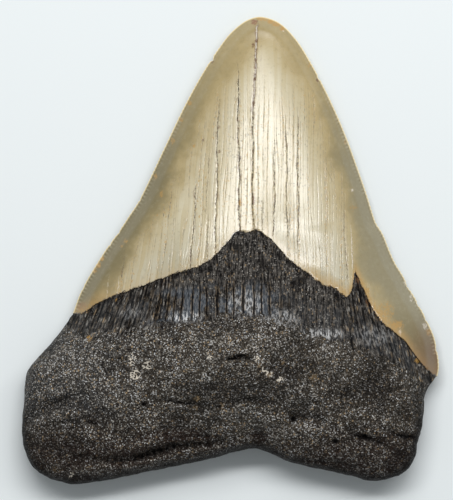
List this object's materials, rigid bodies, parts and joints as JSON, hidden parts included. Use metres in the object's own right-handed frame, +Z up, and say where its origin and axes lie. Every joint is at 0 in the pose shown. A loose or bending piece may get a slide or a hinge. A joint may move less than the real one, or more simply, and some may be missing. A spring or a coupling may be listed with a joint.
{
  "type": "fossil megalodon tooth",
  "caption": "Large fossil shark tooth lying on its flat face: broad pale triangular crown with serrated edges on a dark, thick, two-lobed root.",
  "frame": {"origin": "on the resting plane, under the middle of the tooth's box", "axes": "+Y from the root towards the point of the crown, +Z up out of the domed inner face, +X to the right seen from above with the point away from the viewer"},
  "size_m": [0.1054, 0.118, 0.0267],
  "materials": {
    "fossil": "semi-gloss cream to olive-grey enamel with fine lengthwise cracks, over a matt, granular brown-black root"
  },
  "bodies": {
    "root": {"tooth": "fossil"}
  },
  "joints": []
}
